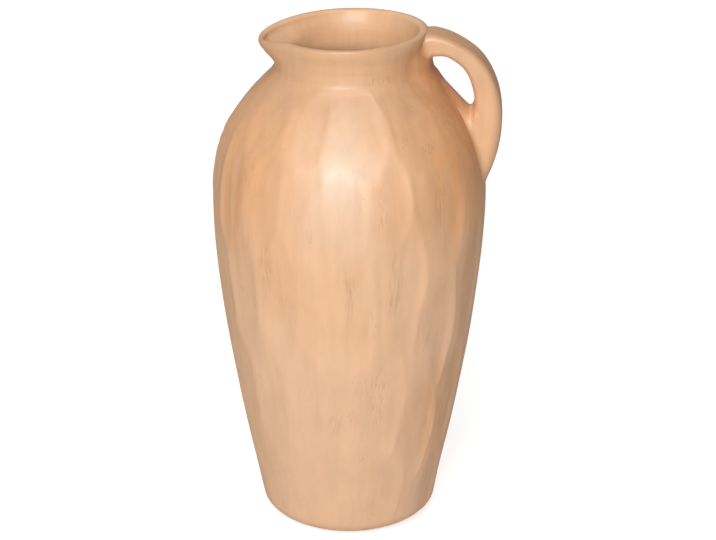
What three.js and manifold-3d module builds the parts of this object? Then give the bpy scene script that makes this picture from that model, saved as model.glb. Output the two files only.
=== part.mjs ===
// A terracotta jug vase, as the pieces of clay that its maker lutes together before firing:
// a floor disc, two thrown wall sections, a neck collar with a pouring lip, a pulled strap handle,
// and the wad of clay pressed into each crook of the handle.
// Millimetres, +Z up. The origin is the centre of the foot. The handle is towards +X.

import * as THREE from "three";
import Module from "manifold-3d";
import { mergeVertices } from "three/addons/utils/BufferGeometryUtils.js";

const wasm = await Module();
wasm.setup();

// Stations of the outside outline: the heel is measured up from the foot, and the rest down from the rim
const RIM_HEIGHT = 340;
const FOOT_RADIUS = 36;
const HEEL_RADIUS = 58;
const HEEL_HEIGHT = 16.5;
const BELLY_RADIUS = 89.1;
const BELLY_BELOW_RIM = 108.5;
const SHOULDER_RADIUS = 60.6;
const SHOULDER_BELOW_RIM = 37;
const NECK_RADIUS = 48.3;
const NECK_BELOW_RIM = 19;
const RIM_RADIUS = 50.6;

// Slopes of the outline at the foot, the heel, the shoulder and the rim, in degrees from the horizontal
const FOOT_SLOPE = 25;
const LOWER_WALL_SLOPE = 78;
const SHOULDER_SLOPE = 46;
const RIM_SLOPE = 80;

// How far the outline follows its slope on each side of a station
const FOOT_RUN = 14;
const HEEL_RUN = 8;
const LOWER_WALL_RUN = 94;
const UNDER_BELLY_RUN = 52;
const OVER_BELLY_RUN = 27;
const SHOULDER_RUN = 30;
const NECK_BASE_RUN = 12.5;
const NECK_FOOT_RUN = 8;
const NECK_RUN = 7;
const RIM_RUN = 6;

// Clay thicknesses and the stepped joints between the pieces
const WALL = 6.5;
const LIP_THICKNESS = 6;
const FLOOR_SEAT = 7;
const FLOOR_STEP = 3;
const BELLY_SEAM_HEIGHT = 152;
const NECK_SEAM_BELOW_RIM = 24;
const TONGUE_HEIGHT = 4;
const TONGUE_THICKNESS = 2.8;
const SLIP = 0.3;

// Pouring lip, pulled out of the rim opposite the handle, and the rim's rise towards the handle
const LIP_ANGLE = -172;
const LIP_FRONT_ANGLE = 37;
const LIP_BACK_ANGLE = 60;
const LIP_PULL = 8;
const LIP_DROP = 3;
const RIM_RISE = 1.2;

// Strap handle: its section, and where its centre line runs in the plane y = 0
const STRAP_WIDTH = 26;
const STRAP_ROOT_THICKNESS = 15.4;
const STRAP_BEND_THICKNESS = 11.6;
const STRAP_FOOT_THICKNESS = 17.5;
const STRAP_SQUARENESS = 0.6;
const STRAP_TOP_BELOW_RIM = 7.4;
const STRAP_STANDOFF = 16;
const STRAP_BEND_BELOW_RIM = 54;
const STRAP_FOOT_BELOW_RIM = 94;
const STRAP_FOOT_SINK = 6.5;
const STRAP_TAIL = 18;

// Wads of clay pressed into the crooks: how far they fill the crook, and how far they stay in from the
// strap's edges
const UPPER_WAD = 7;
const LOWER_WAD = 9;
const WAD_INSET = 2;
const WAD_FILL = 0.6;

// Facets of the turned and swept surfaces
const OUTLINE_SAMPLES = 60;
const TURN_STEPS = 72;
const RING_SPACING = 10.5;
const HEEL_RING_SPACING = 3.2;
const NECK_RING_SPACING = 4.2;
const INNER_RING_SPACING = 21;
const LIP_STEPS = 5;
const STRAP_RINGS = 22;
const STRAP_SIDES = 16;
const STRAP_SEARCH_STEPS = 200;
const WAD_SIDES = 12;
const WAD_RINGS = 8;

// Thumb scoops on the side seen from -Y, each as the angle round the vase in degrees, the height as a
// share of the way from heel to neck, the half width, the half height and the depth
const FRONT_SCOOPS = [
  [-136, 0.93, 11, 17, 1.4],
  [-104, 0.92, 10, 17, 1.7],
  [-81, 0.925, 17, 20, 1.6],
  [-49, 0.925, 14, 19, 1.8],
  [-22, 0.845, 18, 24, 1.5],
  [-164, 0.75, 12, 32, 1.4],
  [-147, 0.755, 12, 32, 1.6],
  [-126, 0.765, 12, 29, 1.5],
  [-105, 0.75, 13, 27, 1.3],
  [-87, 0.765, 14, 26, 1.3],
  [-69, 0.775, 12, 28, 1.4],
  [-44, 0.745, 16, 37, 2.2],
  [-158, 0.54, 12, 34, 1.3],
  [-139, 0.54, 13, 36, 1.5],
  [-119, 0.54, 12, 36, 1.6],
  [-101, 0.53, 13, 32, 0.9],
  [-84, 0.52, 12, 34, 1.1],
  [-63, 0.58, 13, 37, 1.8],
  [-43, 0.47, 13, 34, 1.9],
  [-22, 0.54, 14, 36, 1.3],
  [-150, 0.315, 12, 32, 1.2],
  [-129, 0.305, 12, 31, 1.1],
  [-109, 0.315, 11, 37, 1.1],
  [-92, 0.285, 12, 30, 1],
  [-71, 0.305, 13, 34, 1.5],
  [-49, 0.225, 13, 30, 1.6],
  [-27, 0.275, 13, 32, 1.2],
  [-140, 0.08, 13, 22, 0.9],
  [-116, 0.07, 12, 22, 0.8],
  [-92, 0.06, 12, 20, 0.8],
  [-68, 0.08, 13, 25, 1.1],
  [-30, 0.06, 12, 20, 0.9],
];

// Rows of thumb scoops on the far side, each as the height as above, the half height and the depth, and how
// the hand spaced them
const BACK_ROWS = [
  [0.925, 19, 1.5],
  [0.755, 31, 1.6],
  [0.54, 35, 1.5],
  [0.305, 32, 1.3],
  [0.07, 22, 0.9],
];
const BACK_START = 8;
const BACK_STEP = 20;
const BACK_COUNT = 9;
const BACK_STAGGER = 9;
const BACK_WANDER = 3;
const BACK_HALF_WIDTH = 13;

// How sharply neighbouring scoops meet: a higher power leaves a crisper ridge
const RIDGE_POWER = 4;

const CLAY = { color: 0xe0b187, roughness: 0.72, metalness: 0 };
const FOOT_CLAY = { color: 0xd2a078, roughness: 0.9, metalness: 0 };

const { clamp, degToRad, lerp, smoothstep } = THREE.MathUtils;

const bellyHeight = RIM_HEIGHT - BELLY_BELOW_RIM;
const shoulderHeight = RIM_HEIGHT - SHOULDER_BELOW_RIM;
const neckHeight = RIM_HEIGHT - NECK_BELOW_RIM;
const lipHeight = RIM_HEIGHT - LIP_THICKNESS / 2;
const neckSeam = RIM_HEIGHT - NECK_SEAM_BELOW_RIM;
const lipFoot = neckSeam + TONGUE_HEIGHT + SLIP;
const floorTop = FLOOR_SEAT + FLOOR_STEP;

// Outline of the vase in (radius, height): curves that follow the given slopes through the stations
function outlineCurve() {
  const upright = Math.PI / 2;
  const lean = degToRad(LOWER_WALL_SLOPE);
  const shoulderSlope = Math.PI - degToRad(SHOULDER_SLOPE);
  const stations = [
    { at: [FOOT_RADIUS, 0], slope: degToRad(FOOT_SLOPE), after: FOOT_RUN },
    { at: [HEEL_RADIUS, HEEL_HEIGHT], slope: lean, before: HEEL_RUN, after: LOWER_WALL_RUN },
    { at: [BELLY_RADIUS, bellyHeight], slope: upright, before: UNDER_BELLY_RUN, after: OVER_BELLY_RUN },
    { at: [SHOULDER_RADIUS, shoulderHeight], slope: shoulderSlope, before: SHOULDER_RUN, after: NECK_BASE_RUN },
    { at: [NECK_RADIUS, neckHeight], slope: upright, before: NECK_FOOT_RUN, after: NECK_RUN },
    { at: [RIM_RADIUS, lipHeight], slope: degToRad(RIM_SLOPE), before: RIM_RUN },
  ];
  const curve = new THREE.CurvePath();
  const along = ({ at, slope }, distance) =>
    new THREE.Vector2(at[0] + distance * Math.cos(slope), at[1] + distance * Math.sin(slope));
  for (let index = 1; index < stations.length; index += 1) {
    const low = stations[index - 1];
    const high = stations[index];
    curve.add(new THREE.CubicBezierCurve(
      along(low, 0), along(low, low.after), along(high, -high.before), along(high, 0)));
  }
  return curve;
}

// The inside follows the outside at the wall's thickness, measured square to it
function insetPoints(points, thickness) {
  return points.map((point, index) => {
    const before = points[Math.max(index - 1, 0)];
    const after = points[Math.min(index + 1, points.length - 1)];
    const along = after.clone().sub(before).normalize();
    return new THREE.Vector2(point.x - along.y * thickness, point.y + along.x * thickness);
  });
}

function radiusOn(points, height) {
  const high = points.findIndex((point, index) => index > 0 && point.y >= height);
  if (high < 0) return points[points.length - 1].x;
  const below = points[high - 1];
  const above = points[high];
  return lerp(below.x, above.x, clamp((height - below.y) / (above.y - below.y), 0, 1));
}

const outerPoints = outlineCurve().getPoints(OUTLINE_SAMPLES);
const innerPoints = insetPoints(outerPoints, WALL);
const outerRadius = (height) => radiusOn(outerPoints, height);
const innerRadius = (height) => radiusOn(innerPoints, height);

// The scoops all round: the ones on the near side and the spaced rows on the far side
function placeScoops() {
  const far = BACK_ROWS.flatMap(([up, halfHeight, depth], row) =>
    Array.from({ length: BACK_COUNT }, (_, index) => {
      const wander = BACK_WANDER * Math.sin(5 * index + 3 * row);
      const angle = BACK_START + BACK_STEP * index + BACK_STAGGER * (row % 2) + wander;
      return [angle, up, BACK_HALF_WIDTH, halfHeight + wander, depth];
    }));
  return [...FRONT_SCOOPS, ...far].map(([angle, up, halfWidth, halfHeight, depth]) => {
    const height = lerp(HEEL_HEIGHT, neckHeight, up);
    return { angle: degToRad(angle), height, halfWidth, halfHeight, depth, radius: outerRadius(height) };
  });
}

const scoops = placeScoops();

const turnBetween = (a, b) => Math.atan2(Math.sin(a - b), Math.cos(a - b));

function scoopDepth(angle, height) {
  let sum = 0;
  for (const scoop of scoops) {
    const across = (turnBetween(angle, scoop.angle) * scoop.radius) / scoop.halfWidth;
    const along = (height - scoop.height) / scoop.halfHeight;
    const inside = 1 - across * across - along * along;
    if (inside > 0) sum += (inside * scoop.depth) ** RIDGE_POWER;
  }
  return sum ** (1 / RIDGE_POWER);
}

// How much of the lip's pull reaches an angle: all of it at the lip, none past its front and back angles
function lipShare(angle) {
  const turn = turnBetween(angle, degToRad(LIP_ANGLE));
  const away = Math.abs(turn) / degToRad(turn > 0 ? LIP_FRONT_ANGLE : LIP_BACK_ANGLE);
  return away < 1 ? (1 - away) ** 2 * (1 + 2 * away) : 0;
}

// Moves a turned point to where the hand leaves it: pressed in by the scoops and pulled out to the lip
function shapeByHand(point, isScooped) {
  const angle = Math.atan2(point.y, point.x);
  const climb = clamp((point.z - lipFoot) / (RIM_HEIGHT - lipFoot), 0, 1);
  const rise = smoothstep(point.z, lipFoot, RIM_HEIGHT);
  const lip = lipShare(angle);
  const pressed = isScooped ? scoopDepth(angle, point.z) : 0;
  const radius = Math.hypot(point.x, point.y) + LIP_PULL * lip * climb * (2 - climb) - pressed;
  const height = point.z + (RIM_RISE * Math.cos(angle) - LIP_DROP * lip) * rise;
  point.set(radius * Math.cos(angle), radius * Math.sin(angle), height);
}

// Turns a section's outline, which starts and ends on the axis or closes on itself, and shapes it by hand
function turned(profile) {
  const points = profile.map(({ radius, height }) => new THREE.Vector2(radius, height));
  const geometry = new THREE.LatheGeometry(points, TURN_STEPS).rotateX(Math.PI / 2);
  const position = geometry.attributes.position;
  const point = new THREE.Vector3();
  for (let index = 0; index < position.count; index += 1) {
    const { radius, scooped } = profile[index % profile.length];
    if (radius > 0) {
      point.fromBufferAttribute(position, index);
      shapeByHand(point, scooped);
      position.setXYZ(index, point.x, point.y, point.z);
    }
  }
  return geometry;
}

const closed = (profile) => [...profile, profile[0]];

const corner = (radius, height) => ({ radius, height, scooped: false });

const skin = (height, extra = 0) => ({ radius: outerRadius(height) + extra, height, scooped: true });

function heightsBetween(low, high, spacing) {
  const count = Math.max(1, Math.round((high - low) / spacing));
  return Array.from({ length: count + 1 }, (_, index) => lerp(low, high, index / count));
}

// Heights of the rings up the outside: closer together round the heel and up the neck
function ringHeights(low, high) {
  const bands = [
    [0, HEEL_HEIGHT, HEEL_RING_SPACING],
    [HEEL_HEIGHT, shoulderHeight, RING_SPACING],
    [shoulderHeight, RIM_HEIGHT, NECK_RING_SPACING],
  ];
  const heights = bands
    .filter(([bandLow, bandHigh]) => low < bandHigh && high > bandLow)
    .flatMap(([bandLow, bandHigh, spacing]) =>
      heightsBetween(Math.max(low, bandLow), Math.min(high, bandHigh), spacing));
  return heights.filter((height, index) => height !== heights[index - 1]);
}

const outsideUp = (low, high) => ringHeights(low, high).map((height) => skin(height));

const insideDown = (high, low) =>
  heightsBetween(low, high, INNER_RING_SPACING).reverse().map((height) => corner(innerRadius(height), height));

// A stepped joint: the lower piece ends in a tongue, and the upper piece is rebated to seat over it
const tongueRadius = (seam) => innerRadius(seam) + TONGUE_THICKNESS;

const tongue = (seam) => [
  corner(tongueRadius(seam), seam),
  corner(tongueRadius(seam), seam + TONGUE_HEIGHT),
];

const rebate = (seam) => [
  corner(tongueRadius(seam) + SLIP, seam + TONGUE_HEIGHT + SLIP),
  corner(tongueRadius(seam) + SLIP, seam),
];

// Floor disc: the flat foot, its rounded heel, a seat for the wall and a raised middle inside the wall
function floorDisc() {
  const stepRadius = innerRadius(floorTop) - SLIP;
  return turned([
    corner(0, 0),
    corner(FOOT_RADIUS, 0),
    ...ringHeights(0, FLOOR_SEAT).slice(1).map((height) => skin(height)),
    corner(stepRadius, FLOOR_SEAT),
    corner(stepRadius, floorTop),
    corner(0, floorTop),
  ]);
}

// Lower wall: the first thrown section, from the floor disc's seat to the tongue under the belly
function lowerWall() {
  return turned(closed([
    corner(innerRadius(floorTop), FLOOR_SEAT),
    ...outsideUp(FLOOR_SEAT, BELLY_SEAM_HEIGHT),
    ...tongue(BELLY_SEAM_HEIGHT),
    ...insideDown(BELLY_SEAM_HEIGHT + TONGUE_HEIGHT, floorTop),
  ]));
}

// Upper wall: the second thrown section, with the belly, the shoulder and the tongue for the neck
function upperWall() {
  return turned(closed([
    ...outsideUp(BELLY_SEAM_HEIGHT, neckSeam),
    ...tongue(neckSeam),
    ...insideDown(neckSeam + TONGUE_HEIGHT, BELLY_SEAM_HEIGHT + TONGUE_HEIGHT + SLIP),
    ...rebate(BELLY_SEAM_HEIGHT),
  ]));
}

// Neck collar: the neck and the rounded rim
function neckCollar() {
  const lipRadius = LIP_THICKNESS / 2;
  const lip = new THREE.Path().absarc(RIM_RADIUS - lipRadius, lipHeight, lipRadius, 0, Math.PI);
  return turned(closed([
    ...outsideUp(neckSeam, lipHeight),
    ...lip.getPoints(LIP_STEPS).slice(1).map(({ x, y }) => corner(x, y)),
    corner(innerRadius(lipFoot), lipFoot),
    ...rebate(neckSeam),
  ]));
}

// A closed mesh as a solid that can be cut
function solidOf(geometry) {
  const bare = geometry.clone();
  bare.deleteAttribute("normal");
  bare.deleteAttribute("uv");
  const merged = mergeVertices(bare, 1e-3);
  return new wasm.Manifold(new wasm.Mesh({
    numProp: 3,
    vertProperties: merged.attributes.position.array,
    triVerts: new Uint32Array(merged.index.array),
  }));
}

function geometryOf(solid) {
  const { vertProperties, triVerts } = solid.getMesh();
  return new THREE.BufferGeometry()
    .setAttribute("position", new THREE.BufferAttribute(vertProperties, 3))
    .setIndex(new THREE.BufferAttribute(triVerts, 1));
}

// The vessel as one thick ring, larger outside by the slip, that the handle and the wads are cut back to
function vesselBlock() {
  const core = FOOT_RADIUS / 2;
  const seams = [FLOOR_SEAT, BELLY_SEAM_HEIGHT, neckSeam, lipHeight];
  const heights = seams.slice(1).flatMap((high, index) => ringHeights(seams[index], high));
  const rings = heights.filter((height, index) => height !== heights[index - 1]);
  return solidOf(turned(closed([
    corner(core, FLOOR_SEAT),
    ...rings.map((height) => skin(height, SLIP)),
    corner(RIM_RADIUS + SLIP, RIM_HEIGHT),
    corner(core, RIM_HEIGHT),
  ])));
}

// The strap's centre line starts inside the neck, loops out and down, and tapers off inside the wall
function strapCentreLine() {
  const top = RIM_HEIGHT - STRAP_TOP_BELOW_RIM;
  const bend = RIM_HEIGHT - STRAP_BEND_BELOW_RIM;
  const foot = RIM_HEIGHT - STRAP_FOOT_BELOW_RIM;
  const tail = foot - STRAP_TAIL;
  const root = NECK_RADIUS - WALL / 2;
  const reach = outerRadius(bend) + STRAP_STANDOFF;
  const footRadius = outerRadius(foot) - STRAP_FOOT_SINK;
  const tailRadius = outerRadius(tail) - STRAP_ROOT_THICKNESS;
  const along = (acrossShare, downShare) =>
    new THREE.Vector3(lerp(root, reach, acrossShare), 0, lerp(top, bend, downShare));
  return new THREE.CatmullRomCurve3([
    along(0, 0),
    along(0.25, -0.004),
    along(0.44, 0.034),
    along(0.76, 0.25),
    along(0.94, 0.59),
    along(1, 1),
    new THREE.Vector3(lerp(footRadius, reach, 0.8), 0, lerp(foot, bend, 0.52)),
    new THREE.Vector3(footRadius, 0, foot),
    new THREE.Vector3(tailRadius, 0, tail),
  ], false, "centripetal");
}

const strapLine = strapCentreLine();

// The strap is thicker at both ends than at its bend; the shares of its length are where each end thins out
function strapThickness(share) {
  const atRoot = lerp(STRAP_ROOT_THICKNESS, STRAP_BEND_THICKNESS, smoothstep(share, 0.03, 0.16));
  return lerp(atRoot, STRAP_FOOT_THICKNESS, smoothstep(share, 0.18, 0.58));
}

// A rounded strap bent along the centre line
function strap(extra) {
  const geometry = new THREE.CylinderGeometry(1, 1, 1, STRAP_SIDES, STRAP_RINGS);
  const position = geometry.attributes.position;
  const across = new THREE.Vector3(0, 1, 0);
  const squared = (value) => Math.sign(value) * Math.abs(value) ** STRAP_SQUARENESS;
  for (let index = 0; index < position.count; index += 1) {
    const share = 0.5 - position.getY(index);
    const inwards = across.clone().cross(strapLine.getTangentAt(share)).normalize();
    const halfThickness = strapThickness(share) / 2 + extra;
    const halfWidth = STRAP_WIDTH / 2 + extra;
    const point = strapLine.getPointAt(share)
      .addScaledVector(inwards, squared(position.getX(index)) * halfThickness)
      .addScaledVector(across, squared(position.getZ(index)) * halfWidth);
    position.setXYZ(index, point.x, point.y, point.z);
  }
  return solidOf(geometry);
}

// Crook under the strap at the neck
function upperCrook() {
  const height = RIM_HEIGHT - STRAP_TOP_BELOW_RIM - STRAP_ROOT_THICKNESS / 2;
  return new THREE.Vector3(outerRadius(height), 0, height);
}

// Crook over the strap's foot: the highest place below the bend where the gap is narrower than a wad
function lowerCrook() {
  const gap = (point) => point.x - STRAP_FOOT_THICKNESS / 2 - outerRadius(point.z);
  const bend = RIM_HEIGHT - STRAP_BEND_BELOW_RIM;
  const lowerHalf = strapLine.getSpacedPoints(STRAP_SEARCH_STEPS).filter((point) => point.z < bend);
  const place = lowerHalf.find((point) => gap(point) < LOWER_WAD * WAD_FILL);
  return new THREE.Vector3(outerRadius(place.z) + gap(place) / 2, 0, place.z);
}

// A thumbed wad that fills a crook, cut back to the wall and the strap
function wad(crook, size, vessel) {
  const lump = new THREE.SphereGeometry(1, WAD_SIDES, WAD_RINGS)
    .scale(size, STRAP_WIDTH / 2 - WAD_INSET, size)
    .translate(crook.x, crook.y, crook.z);
  return geometryOf(solidOf(lump).subtract(vessel).subtract(strap(SLIP)));
}

function piece(name, geometry, clay) {
  const mesh = new THREE.Mesh(geometry, new THREE.MeshStandardMaterial(clay));
  mesh.name = name;
  return mesh;
}

const block = vesselBlock();

const vessel = new THREE.Group();
vessel.name = "vessel";
vessel.add(
  piece("floor_disc", floorDisc(), FOOT_CLAY),
  piece("lower_wall", lowerWall(), CLAY),
  piece("upper_wall", upperWall(), CLAY),
  piece("neck_collar", neckCollar(), CLAY),
);

const loop = new THREE.Group();
loop.name = "loop";
loop.add(
  piece("handle", geometryOf(strap(0).subtract(block)), CLAY),
  piece("handle_upper_wad", wad(upperCrook(), UPPER_WAD, block), CLAY),
  piece("handle_lower_wad", wad(lowerCrook(), LOWER_WAD, block), CLAY),
);

const vase = new THREE.Group();
vase.name = "terracotta_jug_vase";
vase.add(vessel, loop);

export default vase;
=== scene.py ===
# A terracotta jug vase for rendering: the thrown wall with its thumb scoops and pouring lip, the foot
# disc under it, and the pulled strap handle, luted on with a wad of clay in each crook.
# Metres, +Z up, the handle towards +X.

import math

import bmesh
import bpy
import numpy as np
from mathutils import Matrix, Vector, noise


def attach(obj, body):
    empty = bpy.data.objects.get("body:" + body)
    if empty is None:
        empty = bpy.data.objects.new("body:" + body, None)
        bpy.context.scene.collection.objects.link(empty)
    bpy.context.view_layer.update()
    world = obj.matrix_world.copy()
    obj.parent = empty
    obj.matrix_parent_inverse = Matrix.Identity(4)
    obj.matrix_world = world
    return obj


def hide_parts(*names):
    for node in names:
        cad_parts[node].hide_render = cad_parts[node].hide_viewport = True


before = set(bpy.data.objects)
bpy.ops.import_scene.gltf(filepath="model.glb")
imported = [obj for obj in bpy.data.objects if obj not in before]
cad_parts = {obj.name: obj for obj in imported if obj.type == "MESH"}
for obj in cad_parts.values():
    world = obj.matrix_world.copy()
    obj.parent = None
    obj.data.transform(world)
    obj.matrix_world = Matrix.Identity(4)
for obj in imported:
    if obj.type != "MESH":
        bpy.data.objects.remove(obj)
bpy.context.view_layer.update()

MM = 0.001

# Stations of the outside outline: the heel is measured up from the foot, and the rest down from the rim
RIM_HEIGHT = 340 * MM
FOOT_RADIUS = 36 * MM
HEEL_RADIUS = 58 * MM
HEEL_HEIGHT = 16.5 * MM
BELLY_RADIUS = 89.1 * MM
BELLY_BELOW_RIM = 108.5 * MM
SHOULDER_RADIUS = 60.6 * MM
SHOULDER_BELOW_RIM = 37 * MM
NECK_RADIUS = 48.3 * MM
NECK_BELOW_RIM = 19 * MM
RIM_RADIUS = 50.6 * MM

# Slopes of the outline at the foot, the heel, the shoulder and the rim, and how far it follows them
FOOT_SLOPE = math.radians(25)
LOWER_WALL_SLOPE = math.radians(78)
SHOULDER_SLOPE = math.radians(46)
RIM_SLOPE = math.radians(80)
FOOT_RUN = 14 * MM
HEEL_RUN = 8 * MM
LOWER_WALL_RUN = 94 * MM
UNDER_BELLY_RUN = 52 * MM
OVER_BELLY_RUN = 27 * MM
SHOULDER_RUN = 30 * MM
NECK_BASE_RUN = 12.5 * MM
NECK_FOOT_RUN = 8 * MM
NECK_RUN = 7 * MM
RIM_RUN = 6 * MM

# Clay thicknesses, and how square the lip's edges are: 1 is round, and less is squarer
WALL = 6.5 * MM
LIP_THICKNESS = 6 * MM
LIP_OUTER_SQUARENESS = 0.5
LIP_INNER_SQUARENESS = 1
FLOOR_THICKNESS = 10 * MM
FLOOR_FILLET = 6 * MM

# Pouring lip, pulled out of the rim opposite the handle, and the rim's rise towards the handle. The inside is
# pulled LIP_THINNING times as far as the outside, and the throat's line starts LIP_INSIDE_DROP under the lip
LIP_ANGLE = math.radians(-172)
LIP_FRONT_ANGLE = math.radians(37)
LIP_BACK_ANGLE = math.radians(60)
LIP_PULL = 8 * MM
LIP_DROP = 3 * MM
LIP_THINNING = 1.22
LIP_INSIDE_DROP = 5 * MM
LIP_START_BELOW_RIM = 20 * MM
CHANNEL_BELOW_RIM = 18 * MM
RIM_RISE = 1.2 * MM
RISE_BELOW_RIM = 20 * MM

# The ledge at the neck's foot, where the scoops end. They fade from just below it to just above it, and
# its bead stands highest at the front. The wheel's lines set in over NECK_EASE above it
LEDGE_BELOW_RIM = 26.6 * MM
LEDGE_BEAD = 0.5 * MM
LEDGE_HALF_HEIGHT = 1.6 * MM
BEAD_MEAN = 0.6
BEAD_SWING = 0.5
BEAD_FRONT_ANGLE = -1.6
SCOOPS_FADE_BELOW = 2 * MM
SCOOPS_FADE_ABOVE = 1.5 * MM
NECK_EASE = 3 * MM

# Strap handle: its section, where its centre line runs in the plane y = 0, and how deep its ends go in
STRAP_WIDTH = 26 * MM
STRAP_ROOT_THICKNESS = 15.4 * MM
STRAP_BEND_THICKNESS = 11.6 * MM
STRAP_FOOT_THICKNESS = 17.5 * MM
STRAP_OUTER_CORNER = 3.6 * MM
STRAP_INNER_CORNER = 3.6 * MM
STRAP_FOOT_CORNER = 8 * MM
STRAP_TOP_BELOW_RIM = 7.4 * MM
STRAP_STANDOFF = 15.8 * MM
STRAP_BEND_BELOW_RIM = 54 * MM
STRAP_FOOT_BELOW_RIM = 94 * MM
STRAP_FOOT_SINK = 6.5 * MM
STRAP_TAIL = 18 * MM
ROOT_DEPTH = 3.2 * MM

# Points of the strap's centre line, as shares of the way across and down: from its root to the bend, and
# the one between its foot and the bend
STRAP_UPPER_POINTS = [(0, 0), (0.25, -0.004), (0.44, 0.034), (0.76, 0.25), (0.94, 0.59), (1, 1)]
STRAP_LOWER_POINT = (0.8, 0.52)

# Clay smeared down from the strap's root over the neck's foot
SWELL = 5.6 * MM
SWELL_GONE_BELOW_RIM = 7 * MM
SWELL_FULL_BELOW_RIM = 18 * MM
SWELL_BELOW_RIM = 29 * MM
SWELL_FADE = 12 * MM
SWELL_HALF_ANGLE = math.radians(36)

# A redder, darker patch, with brushed strokes, round the strap's root and down the shoulder under it: painted
# shade where the side turns from the light and lies under the handle. It fills the wall's relief there,
# creeps up the strap's root, and a thinner coat of it covers the strap, mostly its back, which faces
# STRAP_BACK and is painted shade too
SLIP_HALF_ANGLE = math.radians(52)
SLIP_SPREAD = math.radians(14)
SLIP_SPREAD_HEIGHT = 8 * MM
SLIP_GONE_BELOW_RIM = 2 * MM
SLIP_TOP_BELOW_RIM = 8 * MM
SLIP_FULL_BELOW_RIM = 65 * MM
SLIP_END_BELOW_RIM = 120 * MM
SLIP_FILLING = 1.7
SLIP_CREEP = 3 * MM
STRAP_SLIP = 0.12
STRAP_BACK_SHADE = 0.4
STRAP_BACK = (0.8, 0, 0.6)

# Clay wedged between the strap's foot and the wall
WEB_TOP_BELOW_RIM = 49.5 * MM
WEB_ARCH = 12 * MM
WEB_BOW = 8 * MM
WEB_BOW_WIDTH = 2.9 * MM
WEB_SHOULDER = 18 * MM
WEB_SHOULDER_SLOPE = 1.1
WEB_TIP = 1.6 * MM
WEB_SIDE_GAP = 0.2 * MM
WEB_STEPS = 24
WEB_TOP_POINTS = 28
WEB_WALL_POINTS = 14

# The thin layer just under the wall's skin that the crooks are eased into, at the strap's root and its foot
SMEAR_SINK = 0.3 * MM
SMEAR_EDGE_SINK = 1.5 * MM
SMEAR_THICKNESS = 2.6 * MM
SMEAR_CELLS = 60
ROOT_SMEAR_BELOW_RIM = 50 * MM
ROOT_SMEAR_HALF_ANGLE = math.radians(34)
FOOT_SMEAR_TOP_BELOW_RIM = 58 * MM
FOOT_SMEAR_BELOW_RIM = 125 * MM
FOOT_SMEAR_HALF_ANGLE = math.radians(19)

# How far off the wall, and how deep in it, the crooks are eased, and how much and how often the wet finger
# smooths them and then the whole handle
CROOK_START = 0.5 * MM
CROOK_EASE = 4 * MM
CROOK_DEEPEST = 2 * MM
CROOK_WEIGHT = 0.6
CROOK_PASSES = 70
TIDY_WEIGHT = 0.5
TIDY_PASSES = 4

# The foot disc stops short of the wall and the floor round it
DISC_SIDE_GAP = 0.4 * MM
DISC_TOP_GAP = 0.3 * MM
DISC_EDGE = 0.8 * MM

# Just above the ground: the last point of the wall's edge round the disc, and the height in which the
# wall's relief sets in
SEAT_HEIGHT = 1 * MM
FOOT_EASE = 3 * MM

# How finely the clay is meshed
SKIN_STEP = 1.85 * MM
THROAT_STEP = 3 * MM
INSIDE_STEP = 11 * MM
THROAT_DEPTH = 60 * MM
TURN_STEPS = 360
LIP_STEPS = 12
STRAP_STEP = 1.5 * MM
STRAP_SIDES = 40
VOXEL = 0.72 * MM

# Thumb scoops on the side seen from -Y, each as the angle round the vase in degrees, the height as a
# share of the way from heel to neck, and the half width, the half height and the depth in millimetres
FRONT_SCOOPS = [
    (-134, 0.9, 12, 17, 1.9),
    (-108, 0.9, 11, 17, 2.1),
    (-85, 0.89, 21, 22, 1.8),
    (-49, 0.895, 15, 20, 2.4),
    (-22, 0.845, 18, 24, 1.5),
    (-164, 0.75, 12, 32, 1.4),
    (-147, 0.755, 12, 32, 1.6),
    (-126, 0.765, 12, 29, 1.5),
    (-106, 0.765, 13, 28, 1.3),
    (-89, 0.785, 15, 29, 1.4),
    (-69, 0.775, 12, 28, 1.4),
    (-44, 0.745, 16, 37, 2.2),
    (-158, 0.54, 12, 34, 1.3),
    (-139, 0.54, 13, 36, 1.5),
    (-119, 0.54, 12, 36, 1.6),
    (-101, 0.53, 13, 32, 0.9),
    (-84, 0.52, 12, 34, 1.1),
    (-63, 0.58, 13, 37, 1.8),
    (-43, 0.47, 13, 34, 1.9),
    (-22, 0.54, 14, 36, 1.3),
    (-150, 0.315, 12, 32, 1.2),
    (-129, 0.305, 12, 31, 1.1),
    (-109, 0.315, 11, 37, 1.1),
    (-92, 0.285, 12, 30, 1),
    (-71, 0.305, 13, 34, 1.5),
    (-49, 0.225, 13, 30, 1.6),
    (-27, 0.275, 13, 32, 1.2),
    (-140, 0.08, 13, 22, 0.9),
    (-116, 0.07, 12, 22, 0.8),
    (-92, 0.06, 12, 20, 0.8),
    (-68, 0.08, 13, 25, 1.1),
    (-30, 0.06, 12, 20, 0.9),
]

# Rows of thumb scoops on the far side, each as the height as above, the half height and the depth, and how
# the hand spaced them
BACK_ROWS = [
    (0.925, 19, 1.5),
    (0.755, 31, 1.6),
    (0.54, 35, 1.5),
    (0.305, 32, 1.3),
    (0.07, 22, 0.9),
]
BACK_START = 8
BACK_STEP = 20
BACK_COUNT = 9
BACK_STAGGER = 9
BACK_WANDER = 3
BACK_HALF_WIDTH = 13

# The scoops run into each other, flat in the middle and soft at their edges. RIDGE_POWER keeps the ridges
# between them crisp, and the outline lies SCOOP_LEVEL under the clay that no scoop touched. The thumb drew
# to the right, so each scoop is deepest and steepest there, except that from DRAWN_ANGLE to STRAIGHT_ANGLE,
# towards the pouring lip, it came to press straight in
SCOOP_REACH = 1.08
SCOOP_DEPTH = 1.25
SCOOP_EDGE = 5
RIDGE_POWER = 6
SCOOP_LEAN = 0.5
STRAIGHT_ANGLE = math.radians(-150)
DRAWN_ANGLE = math.radians(-85)
SCOOP_LEVEL = 0.5 * MM

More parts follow.
